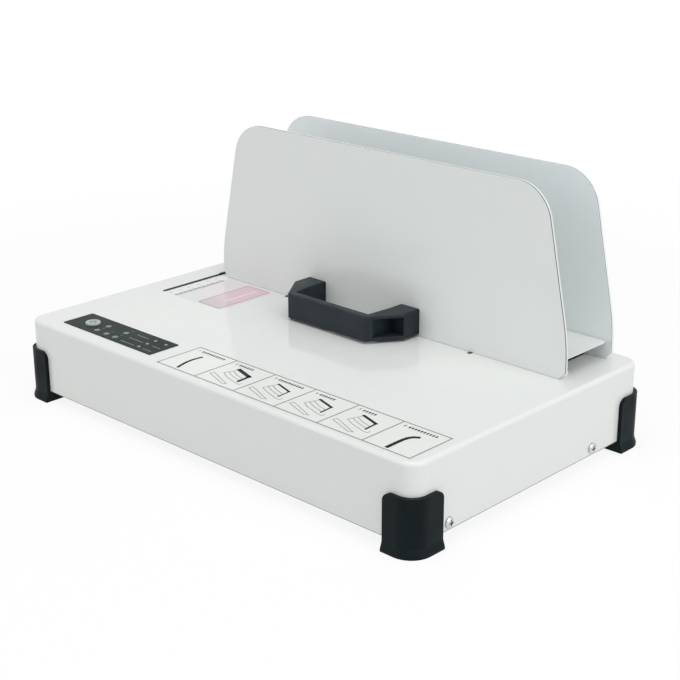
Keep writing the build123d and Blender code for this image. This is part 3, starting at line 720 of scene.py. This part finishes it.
def sheet(name: str, low: Spot, high: Spot, z: float, thickness: float,
          corner: float = 0.0, rim: float = 0.0) -> Piece:
    """Models a thin sheet that lies level, with rounded corners, or only its rim.

    Args:
        name: the piece's name.
        low: its left front corner.
        high: its right rear corner.
        z: its underside.
        thickness: its thickness.
        corner: the radius of its corners.
        rim: how broad a rim is left when the middle is cut out; 0 leaves it whole.

    Returns:
        The piece.
    """
    deselect()
    middle = Vector(((low[0] + high[0]) / 2, (low[1] + high[1]) / 2, z + thickness / 2)) * MM
    bpy.ops.mesh.primitive_plane_add(size=MM, location=middle)
    bpy.ops.object.transform_apply(location=True)
    with EditMode() as edit:
        edit.all()
        edit.stretch((high[0] - low[0], high[1] - low[1], 1.0), middle)
        if corner:
            bpy.ops.mesh.bevel(offset=corner * MM, segments=CORNER_STEPS, affect="VERTICES")
        if rim:
            edit.pick(Kind.FACES, lambda face: True)
            bpy.ops.mesh.inset(thickness=rim * MM)
            bpy.ops.mesh.delete(type="FACE")
    apply_modifier("SOLIDIFY", thickness=thickness * MM, offset=0.0)
    return settle(name)


def numbers(name: str, marks: Sequence[tuple[str, float, float]], size: float, z: float,
            thickness: float) -> Piece:
    """Models plain numbers that lie level and read from the front.

    Args:
        name: the piece's name.
        marks: each number with the X and Y of its middle.
        size: the height of the type.
        z: the underside.
        thickness: the thickness of the ink.

    Returns:
        The piece.
    """
    parts = []
    for number, x, y in marks:
        deselect()
        bpy.ops.object.text_add(location=Vector((x, y, z + thickness / 2)) * MM)
        text = bpy.context.object.data
        text.body, text.size, text.extrude = number, size * MM, thickness / 2 * MM
        text.align_x, text.align_y, text.resolution_u = "CENTER", "CENTER", TYPE_STEPS
        bpy.ops.object.convert(target="MESH")
        parts.append(bpy.context.object)
    piece = join(parts, name)
    with EditMode() as edit:
        edit.face_out()
    return piece


class Pen:
    """Draws level strokes in one mesh: a square start whose leading edge is pulled along."""

    def __init__(self, z: float, thickness: float) -> None:
        """Starts an empty drawing.

        Args:
            z: the underside of the ink.
            thickness: the thickness of the ink.
        """
        self.z, self.thickness = z + thickness / 2, thickness
        deselect()
        bpy.ops.mesh.primitive_plane_add(size=MM)
        with EditMode() as edit:
            edit.all()
            bpy.ops.mesh.delete(type="VERT")

    def stroke(self, points: Sequence[Spot], width: float) -> Pen:
        """Draws one stroke with mitred corners.

        Args:
            points: the X and Y that it runs through.
            width: its breadth.

        Returns:
            The pen, for the next stroke.
        """
        aims = [math.atan2(b[1] - a[1], b[0] - a[0]) for a, b in zip(points, points[1:])]
        places = [Vector((*point, self.z)) for point in points]
        ahead = Vector((math.cos(aims[0]), math.sin(aims[0]), 0.0))
        places[-1] += Vector((math.cos(aims[-1]), math.sin(aims[-1]), 0.0)) * width / 2
        with EditMode() as edit:
            bpy.ops.mesh.primitive_plane_add(size=width * MM, location=places[0] * MM,
                                             rotation=(0.0, 0.0, aims[0]))
            edit.pick(Kind.POINTS, lambda p: (p.co - places[0] * MM).dot(ahead) > 0, within=True)
            here, angle, factor = places[0] + ahead * width / 2, aims[0], 1.0
            for index, place in enumerate(places[1:]):
                half = 0.0
                if index + 1 < len(aims):
                    half = math.remainder(aims[index + 1] - aims[index], math.tau) / 2
                edit.pull(*(place - here))
                edit.turn(aims[index] + half - angle, place * MM)
                grown = 1 / math.cos(half)
                edit.stretch((grown / factor, grown / factor, 1.0), place * MM)
                here, angle, factor = place, aims[index] + half, grown
        return self

    def finish(self, name: str) -> Piece:
        """Gives the drawing its thickness and its name, and returns it."""
        apply_modifier("SOLIDIFY", thickness=self.thickness * MM, offset=0.0)
        with EditMode() as edit:
            edit.all()
            bpy.ops.mesh.normals_make_consistent(inside=False)
        return settle(name)


# ---- sub-assemblies -------------------------------------------------------


@dataclass
class SubAssembly:
    """A group of the machine's pieces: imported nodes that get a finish, and new pieces."""

    nodes: dict[str, Piece]
    looks: ClassVar[dict[str, Look]] = {}

    def dress(self) -> None:
        """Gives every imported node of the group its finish."""
        for name, look in self.looks.items():
            for slot in self.nodes[name].material_slots:
                slot.material = look.material()
            LOG.info("%s: finish %s", name, look.value.name)

    def own(self, piece: Piece, look: Look, body: str = "base") -> None:
        """Gives a new piece its finish and lets it ride on a body.

        Args:
            piece: the piece, in place.
            look: its finish.
            body: the body that it moves with.
        """
        piece.data.materials.clear()
        piece.data.materials.append(look.material())
        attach(piece, body)
        LOG.info("%s: %d faces on %s", piece.name, len(piece.data.polygons), body)

    def build(self) -> None:
        """Models the group's new pieces; a group that has none leaves this as it is."""


@dataclass
class Case(SubAssembly):
    """The sheet-metal case, its tray, its corner feet and the screws that hold them."""

    looks: ClassVar[dict[str, Look]] = {
        "top_cover": Look.CASE_PAINT, "bottom_tray": Look.ZINC, "case_screws": Look.SCREW,
        "foot_screws": Look.SCREW, "foot_front_left": Look.FOOT_BLACK,
        "foot_front_right": Look.FOOT_BLACK, "foot_rear_left": Look.FOOT_BLACK,
        "foot_rear_right": Look.FOOT_BLACK}


@dataclass
class Plates(SubAssembly):
    """The two upright plates and the shelf between them."""

    looks: ClassVar[dict[str, Look]] = {
        "rear_plate": Look.INNER_PAINT, "rear_plate_screws": Look.SCREW,
        "front_plate": Look.PLATE_PAINT, "clamp_shelf": Look.PLATE_PAINT,
        "shelf_screws": Look.SCREW}

    glide_low: Spot = (-163.4, 52.42)
    glide_high: Spot = (179.4, 60.0)
    glide_z: float = 64.7
    glide_thickness: float = 0.5

    def build(self) -> None:
        """Models the glide strip under the front plate's foot."""
        self.own(sheet("clamp_glide", self.glide_low, self.glide_high, self.glide_z,
                       self.glide_thickness), Look.PLATE_PAINT, "clamp")


@dataclass
class Handle(SubAssembly):
    """The bridge handle that moves the clamp."""

    looks: ClassVar[dict[str, Look]] = {
        "handle": Look.MOULDED_BLACK, "handle_screws": Look.SCREW}


@dataclass
class Slide(SubAssembly):
    """What guides the clamp under the top, and the pointer that shows how far it is."""

    looks: ClassVar[dict[str, Look]] = {
        "guide_rods": Look.CHROME, "rod_brackets": Look.ZINC, "spring_barrels": Look.SCREW,
        "barrel_saddles": Look.SLIDE, "clamp_blades": Look.ZINC, "slide_blocks": Look.SLIDE,
        "slide_bushes": Look.BRONZE, "cross_bar": Look.ZINC, "spring_plungers": Look.CHROME,
        "thickness_pointer": Look.MOULDED_BLACK}


@dataclass
class Heater(SubAssembly):
    """The hot plate in the well and what carries and heats it."""

    looks: ClassVar[dict[str, Look]] = {
        "heater_cradle": Look.ZINC, "heater_insulation": Look.INSULATION,
        "heating_mats": Look.HEATING_MAT, "heater_plate": Look.HOT_PLATE,
        "thermostat": Look.CREAM}


@dataclass
class Supply(SubAssembly):
    """The power board, the mains inlet and the wires."""

    looks: ClassVar[dict[str, Look]] = {
        "power_board": Look.BOARD, "power_board_posts": Look.SCREW, "transformer": Look.CORE,
        "relay": Look.MOULDED_BLACK, "capacitors": Look.PANEL_FILM, "terminal_block": Look.CREAM,
        "power_inlet": Look.MOULDED_BLACK, "inlet_pins": Look.CHROME, "inlet_screws": Look.SCREW,
        "wiring": Look.PANEL_FILM}


@dataclass
class ControlPanel(SubAssembly):
    """The film panel with its key, lamps and marks, and the board under it."""

    looks: ClassVar[dict[str, Look]] = {
        "panel_overlay": Look.PANEL_FILM, "power_key": Look.KEY, "control_board": Look.BOARD,
        "board_posts": Look.SCREW, "key_switch": Look.MOULDED_BLACK, "lamps": Look.LAMP,
        "control_parts": Look.PANEL_FILM}

    top: float = 65.0
    ink: float = 0.04
    key: Spot = (-150.6, -99.4)
    key_top: float = 66.4
    sign_radius: float = 2.5
    sign_stem: Span = (0.6, 3.2)
    sign_gap: tuple[int, int] = (55, 125)
    sign_step: int = 10
    sign_line: float = 0.5
    discs: Sequence[Spot] = ((-136.0, -95.6), (-136.0, -106.6), (-124.2, -107.0),
                             (-113.6, -107.0), (-114.2, -95.8))
    disc_radius: float = 2.4
    disc_sunk: float = 0.01
    disc_rim: float = 0.55
    disc_rises: Span = (0.08, 0.05)
    number_shift: Spot = (0.6, 5.4)
    number_size: float = 3.4
    lens_radius: float = 1.5
    lens_flatness: float = 0.42
    dash: float = 2.6
    dash_gap: float = 0.7
    dash_end: float = 0.5
    dash_line: float = 0.9
    lamps: Sequence[Spot] = ((-84.0, -108.0), (-84.0, -100.0), (-84.0, -92.0), (-72.0, -92.0))
    rules: Sequence[tuple[Spot, Spot]] = (
        ((-104.5, -108.6), (-88.6, -108.6)), ((-104.5, -100.4), (-88.6, -100.4)),
        ((-104.5, -92.4), (-91.0, -92.4)), ((-78.5, -108.6), (-69.0, -108.6)),
        ((-77.5, -100.4), (-69.0, -100.4)))

    def build(self) -> None:
        """Models the key's sign, the marks, the rules, the numbers and the lenses."""
        self.own(self.key_sign(), Look.INK_GREY, "key")
        self.own(self.mark_discs(), Look.INK_PALE)
        self.own(self.rule_lines(), Look.INK_PALE)
        over, behind = self.number_shift
        marks = [(str(n + 1), x + over, y + behind) for n, (x, y) in enumerate(self.discs)]
        self.own(numbers("panel_numbers", marks, self.number_size, self.top, self.ink),
                 Look.INK_PALE)
        self.own(self.lenses(), Look.LENS)

    def key_sign(self) -> Piece:
        """Models the on-off sign and lays it into the key's hollow."""
        x, y = self.key
        end, start = self.sign_gap
        turns = [math.radians(a) for a in range(start, end + 361, self.sign_step)]
        ring = [(x + self.sign_radius * math.cos(a), y + self.sign_radius * math.sin(a))
                for a in turns]
        pen = Pen(self.key_top, self.ink).stroke(ring, self.sign_line)
        stem = [(x, y + along) for along in self.sign_stem]
        sign = pen.stroke(stem, self.sign_line).finish("key_sign")
        apply_modifier("SHRINKWRAP", target=self.nodes["power_key"], wrap_method="PROJECT",
                       use_project_z=True, use_negative_direction=True, use_positive_direction=False,
                       offset=self.ink * MM)
        return sign

    def mark_discs(self) -> Piece:
        """Models the five light discs, each a low button with a stepped rim."""
        deselect()
        bpy.ops.mesh.primitive_circle_add(vertices=28, radius=self.disc_radius * MM, fill_type="NGON",
                                          location=(0.0, 0.0, (self.top - self.disc_sunk) * MM))
        with EditMode() as edit:
            edit.all()
            edit.pull(0.0, 0.0, self.disc_rises[0])
            bpy.ops.mesh.inset(thickness=self.disc_rim * MM)
            edit.pull(0.0, 0.0, self.disc_rises[1])
            edit.face_out()
        return repeat(settle("disc"), self.discs, "panel_discs")

    def rule_lines(self) -> Piece:
        """Models the broken rules beside the lamps."""
        pen = Pen(self.top, self.ink)
        for (x0, y), (x1, _) in self.rules:
            x = x0
            while x < x1 - 2 * self.dash_end:
                end = min(x + self.dash, x1)
                pen.stroke([(x, y), (end - self.dash_end, y)], self.dash_line)
                x = end + self.dash_gap
        return pen.finish("panel_rules")

    def lenses(self) -> Piece:
        """Models the domed lens over each lamp: a ball cut level and pressed flat."""
        deselect()
        rim = Vector((0.0, 0.0, self.top * MM))
        bpy.ops.mesh.primitive_uv_sphere_add(segments=24, ring_count=12, location=rim,
                                             radius=self.lens_radius * MM)
        bpy.ops.object.transform_apply(location=True)
        with EditMode() as edit:
            edit.all()
            bpy.ops.mesh.bisect(plane_co=rim, plane_no=(0, 0, 1), use_fill=True, clear_inner=True)
            edit.all()
            edit.stretch((1.0, 1.0, self.lens_flatness), rim)
            edit.face_out()
        bpy.ops.object.shade_smooth_by_angle(angle=math.radians(40))
        return repeat(settle("lens"), self.lamps, "lamp_lenses")


@dataclass
class PictureStrip(SubAssembly):
    """The printed strip of six cells along the front of the top."""

    top: float = 64.5
    film: float = 0.12
    ink: float = 0.04
    low: Spot = (-50.5, -118.0)
    high: Spot = (190.5, -77.0)
    cells: int = 6
    margin: float = 1.2
    margin_corner: float = 1.5
    line: float = 0.95
    thin: float = 0.5
    number_spot: Spot = (5.0, -81.8)
    number_size: float = 4.0
    heading_start: float = 9.0
    heading_ends: Sequence[float] = (32.0, 22.0, 33.0, 24.0, 21.0, 32.0)
    heading_y: Span = (-82.6, -81.4)
    heading_step: float = 2.5
    heading_line: float = 1.4
    bent: Sequence[Spot] = ((18.6, -114.3), (17.4, -110.6), (16.2, -106.6), (15.5, -102.6),
                            (15.2, -98.6), (15.4, -94.6), (16.2, -90.2))
    hooked: Sequence[Spot] = ((18.6, -114.4), (18.5, -106.5), (18.5, -100.0), (19.2, -95.4),
                              (21.0, -92.2), (23.4, -90.6))
    bent_line: float = 2.3
    hooked_line: float = 3.0
    corner: Sequence[Spot] = ((14.6, -88.2), (29.4, -92.8), (30.2, -103.6))
    corner_lines: Sequence[float] = (3.4, 1.8, 2.1, 2.3)
    corner_taper: float = 0.7
    block: Sequence[Spot] = ((10.6, -99.6), (17.6, -103.2), (30.6, -107.0), (34.6, -107.4),
                             (35.0, -104.6))
    flap: Sequence[Spot] = ((4.0, -106.8), (4.6, -103.6), (9.0, -105.0), (27.6, -112.6),
                            (24.8, -114.0), (4.0, -106.8))
    pages: Sequence[Sequence[Spot]] = (((12.6, -96.4), (20.0, -99.8), (29.4, -102.4)),
                                       ((13.6, -93.0), (21.0, -96.4), (28.6, -98.6)),
                                       ((14.4, -89.4), (10.6, -99.6)))

    @property
    def pitch(self) -> float:
        """The width of one cell."""
        return (self.high[0] - self.low[0]) / self.cells

    def build(self) -> None:
        """Models the film, the cell lines, the drawings and the numbers."""
        low = (self.low[0] - self.margin, self.low[1] - self.margin)
        high = (self.high[0] + self.margin, self.high[1] + self.margin)
        self.own(sheet("strip_film", low, high, self.top, self.film, self.margin_corner),
                 Look.STRIP_FILM)
        self.own(self.cell_lines(), Look.INK_GREY)
        self.own(self.thin_drawings(), Look.INK_GREY)
        self.own(self.thick_drawings(), Look.INK_BLACK)
        self.own(self.heading_lines(), Look.INK_BLACK)
        marks = [(str(n + 1), *self.shift([self.number_spot], n)[0]) for n in range(self.cells)]
        self.own(numbers("strip_numbers", marks, self.number_size, self.top + self.film, self.ink),
                 Look.INK_BLACK)

    def cell_lines(self) -> Piece:
        """Draws the frame and the five dividers."""
        (x0, y0), (x1, y1) = self.low, self.high
        pen = Pen(self.top + self.film, self.ink)
        pen.stroke([(x0, y0), (x1, y0), (x1, y1), (x0, y1), (x0, y0)], self.line)
        for n in range(1, self.cells):
            x = x0 + n * self.pitch
            pen.stroke([(x, y0 + self.line), (x, y1 - self.line)], self.line)
        return pen.finish("strip_lines")

    def shift(self, points: Sequence[Spot], cell: int) -> list[Spot]:
        """Moves a drawing into its cell.

        Args:
            points: places measured from the cell's left edge.
            cell: the cell, from 0.

        Returns:
            Places in the part's frame.
        """
        return [(x + self.low[0] + cell * self.pitch, y) for x, y in points]

    def thin_drawings(self) -> Piece:
        """Draws the open block of pages in the four middle cells."""
        pen = Pen(self.top + self.film, self.ink)
        for cell in range(1, self.cells - 1):
            for line in (self.block, self.flap, *self.pages):
                pen.stroke(self.shift(line, cell), self.thin)
        return pen.finish("strip_outlines")

    def thick_drawings(self) -> Piece:
        """Draws the bent spines in the end cells and the square ones between them."""
        pen = Pen(self.top + self.film, self.ink)
        pen.stroke(self.shift(self.bent, 0), self.bent_line)
        pen.stroke(self.shift(self.hooked, self.cells - 1), self.hooked_line)
        for cell, width in enumerate(self.corner_lines, start=1):
            pen.stroke(self.shift(self.corner[:2], cell), width)
            pen.stroke(self.shift(self.corner[1:], cell), self.corner_taper * width)
        return pen.finish("strip_spines")

    def heading_lines(self) -> Piece:
        """Draws the broken rule that heads each cell."""
        pen = Pen(self.top + self.film, self.ink)
        for cell, end in enumerate(self.heading_ends):
            x = self.heading_start
            while x < end:
                dash = [(x, y) for y in self.heading_y]
                pen.stroke(self.shift(dash, cell), self.heading_line)
                x += self.heading_step
        return pen.finish("strip_headings")


@dataclass
class ThicknessScale(SubAssembly):
    """The pointer's slot, made dark by a laid-in sheet of painted shade, the scale beside it and the
    bare label next to it.
    """

    top: float = 64.5
    ink: float = 0.04
    film: float = 0.1
    baseline: float = -158.9
    baseline_width: float = 3.2
    start: float = -8.0
    steps: int = 11
    step: float = 5.0
    ticks: Span = (4.6, 2.6)
    tick_line: float = 0.5
    number_away: float = 8.0
    number_size: float = 3.0
    slot_low: Spot = (-176.06, -9.46)
    slot_high: Spot = (-172.34, 61.96)
    slot_corner: float = 1.8
    lining_depth: float = 1.4
    lining_height: float = 1.55
    lining_wall: float = 0.3
    label_low: Spot = (-156.6, -9.4)
    label_high: Spot = (-103.6, 48.6)
    label_corner: float = 3.0
    patch_low: Spot = (-133.4, -8.4)
    patch_high: Spot = (-106.6, 48.0)
    patch_corner: float = 2.5
    patch_rim: float = 1.5
    band_low: Spot = (-118.6, 6.0)
    band_high: Spot = (-115.8, 42.0)
    band_corner: float = 1.0

    def build(self) -> None:
        """Models the dark sheet in the slot that stands in for its shade, the label, its bare patch,
        the scale and its numbers.
        """
        # painted shade: a dark grey rim sheet lines the slot so that it reads as dark as the shade in
        # it
        self.own(sheet("slot_shade_lining", self.slot_low, self.slot_high, self.top - self.lining_depth,
                       self.lining_height, self.slot_corner, self.lining_wall), Look.SLIDE)
        self.own(sheet("plain_label", self.label_low, self.label_high, self.top, self.film,
                       self.label_corner), Look.LABEL_FILM)
        z = self.top + self.film
        self.own(sheet("label_patch", self.patch_low, self.patch_high, z, self.ink,
                       self.patch_corner), Look.LABEL_PATCH)
        self.own(sheet("label_rim", self.patch_low, self.patch_high, z, 2 * self.ink,
                       self.patch_corner, self.patch_rim), Look.LABEL_RIM)
        self.own(sheet("label_band", self.band_low, self.band_high, z, 2 * self.ink,
                       self.band_corner), Look.LABEL_FILM)
        self.own(self.scale_lines(), Look.INK_SOFT)
        marks = [(str(n), self.baseline - self.number_away, self.start + 2 * n * self.step)
                 for n in range((self.steps + 1) // 2)]
        self.own(numbers("scale_numbers", marks, self.number_size, self.top, self.ink),
                 Look.INK_GREY)

    def scale_lines(self) -> Piece:
        """Draws the scale's baseline and its ticks, every other one longer."""
        pen = Pen(self.top, self.ink)
        end = self.start + (self.steps - 1) * self.step
        pen.stroke([(self.baseline, self.start), (self.baseline, end)], self.baseline_width)
        for n in range(self.steps):
            y = self.start + n * self.step
            pen.stroke([(self.baseline, y), (self.baseline - self.ticks[n % 2], y)], self.tick_line)
        return pen.finish("scale_lines")


# ---- studio ---------------------------------------------------------------


@dataclass(frozen=True)
class SoftLamp:
    """One square soft lamp."""

    name: str
    place: tuple[float, float, float]
    size: float
    watts: float
    aim: tuple[float, float, float] = (0.0, 0.0, 0.06)

    def light(self) -> None:
        """Hangs the lamp and turns it to its aim."""
        deselect()
        toward = Vector(self.aim) - Vector(self.place)
        bpy.ops.object.light_add(type="AREA", location=self.place,
                                 rotation=toward.to_track_quat("-Z", "Y").to_euler())
        lamp = bpy.context.object
        lamp.name = lamp.data.name = self.name
        lamp.data.size, lamp.data.energy = self.size, self.watts


@dataclass
class Studio:
    """The white floor, the white surroundings, the lamps and the camera."""

    sky: float = 0.5
    sky_tint: Colour = (0.99, 1.0, 0.995, 1.0)
    white: Colour = (1.0, 1.0, 1.0, 1.0)
    floor_tint: Colour = (0.7, 0.7, 0.7, 1.0)
    floor_white: float = 1.07
    floor_glow: float = 0.8
    shadow_reach: Span = (0.5, 1.4)
    floor_size: float = 24.0
    lamps: Sequence[SoftLamp] = field(default_factory=lambda: (
        SoftLamp("top_lamp", (0.45, -0.5, 2.35), 2.0, 22.5),
        SoftLamp("side_lamp", (2.15, 0.1, 1.0), 1.4, 16.5),
        SoftLamp("front_lamp", (-0.75, -1.95, 1.0), 1.6, 8.0)))
    azimuth: float = 43.81
    elevation: float = 20.08
    roll: float = -0.15
    distance: float = 1.08392
    aim: tuple[float, float, float] = (0.01845, 0.0, 0.0673)
    focal_pixels: float = 1458.24
    photo_pixels: float = 680.0
    sensor: float = 36.0

    def build(self) -> None:
        """Sets up the whole studio."""
        bpy.context.scene.view_settings.view_transform = "Standard"
        self.lay_floor()
        self.light_sky()
        for lamp in self.lamps:
            lamp.light()
        self.stand_camera()

    def seen(self, graph: Graph) -> Socket:
        """Returns 1 for rays that show the surroundings: from the camera, gloss or glass."""
        path = graph.add("LightPath").outputs
        found = graph.math("MAXIMUM", path["Is Camera Ray"], path["Is Glossy Ray"])
        return graph.math("MAXIMUM", found, path["Is Transmission Ray"])

    def lay_floor(self) -> None:
        """Lays a matt white floor that looks white and still takes the shadow."""
        deselect()
        bpy.ops.mesh.primitive_plane_add(size=self.floor_size)
        floor = settle("floor")
        white = bpy.data.materials.new("studio_floor")
        white.use_nodes = True
        white.node_tree.nodes.clear()
        graph = Graph(white.node_tree)
        matt = graph.add("BsdfPrincipled", {
            "Base Color": self.floor_tint, "Roughness": 0.95, "Specular IOR Level": 0.0})
        glow = graph.add("Emission", {"Color": self.white, "Strength": self.floor_white})
        away = graph.add("VectorMath", {0: graph.place()}, operation="LENGTH").outputs["Value"]
        glowing = graph.span(away, *self.shadow_reach, self.floor_glow, 1.0)
        share = graph.math("MULTIPLY", self.seen(graph), glowing)
        both = graph.add("MixShader", {0: share, 1: matt.outputs[0], 2: glow.outputs[0]})
        graph.add("OutputMaterial", {"Surface": both.outputs[0]})
        floor.data.materials.append(white)

    def light_sky(self) -> None:
        """Makes the surroundings white to look at and gentler as a light."""
        world = bpy.data.worlds.new("studio_sky")
        bpy.context.scene.world = world
        world.use_nodes = True
        world.node_tree.nodes.clear()
        graph = Graph(world.node_tree)
        even = graph.add("Background", {"Color": self.sky_tint, "Strength": self.sky})
        white = graph.add("Background", {"Color": self.white, "Strength": 1.0})
        both = graph.add("MixShader", {0: self.seen(graph), 1: even.outputs[0],
                                       2: white.outputs[0]})
        graph.add("OutputWorld", {"Surface": both.outputs[0]})

    def stand_camera(self) -> None:
        """Stands the camera where the photograph was taken."""
        az, el, roll = (math.radians(a) for a in (self.azimuth, self.elevation, self.roll))
        back = Vector((math.sin(az) * math.cos(el), -math.cos(az) * math.cos(el), math.sin(el)))
        side = (-back).cross(Vector((0.0, 0.0, 1.0))).normalized()
        up = side.cross(-back)
        across = side * math.cos(roll) + up * math.sin(roll)
        upright = up * math.cos(roll) - side * math.sin(roll)
        turned = Matrix((across, upright, back)).transposed()
        deselect()
        bpy.ops.object.camera_add(location=Vector(self.aim) + back * self.distance,
                                  rotation=turned.to_euler())
        camera = bpy.context.object
        camera.name = "camera"
        camera.data.sensor_width = self.sensor
        camera.data.lens = self.focal_pixels / self.photo_pixels * self.sensor
        bpy.context.scene.camera = camera


def main() -> None:
    """Loads the frame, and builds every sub-assembly and the studio."""
    logging.basicConfig(level=logging.INFO, format="%(name)s %(message)s")
    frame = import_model()
    for kind in (Case, Plates, Handle, Slide, Heater, Supply, ControlPanel, PictureStrip,
                 ThicknessScale):
        group = kind(frame["nodes"])
        group.dress()
        group.build()
    Studio().build()


if __name__ == "__main__":
    main()
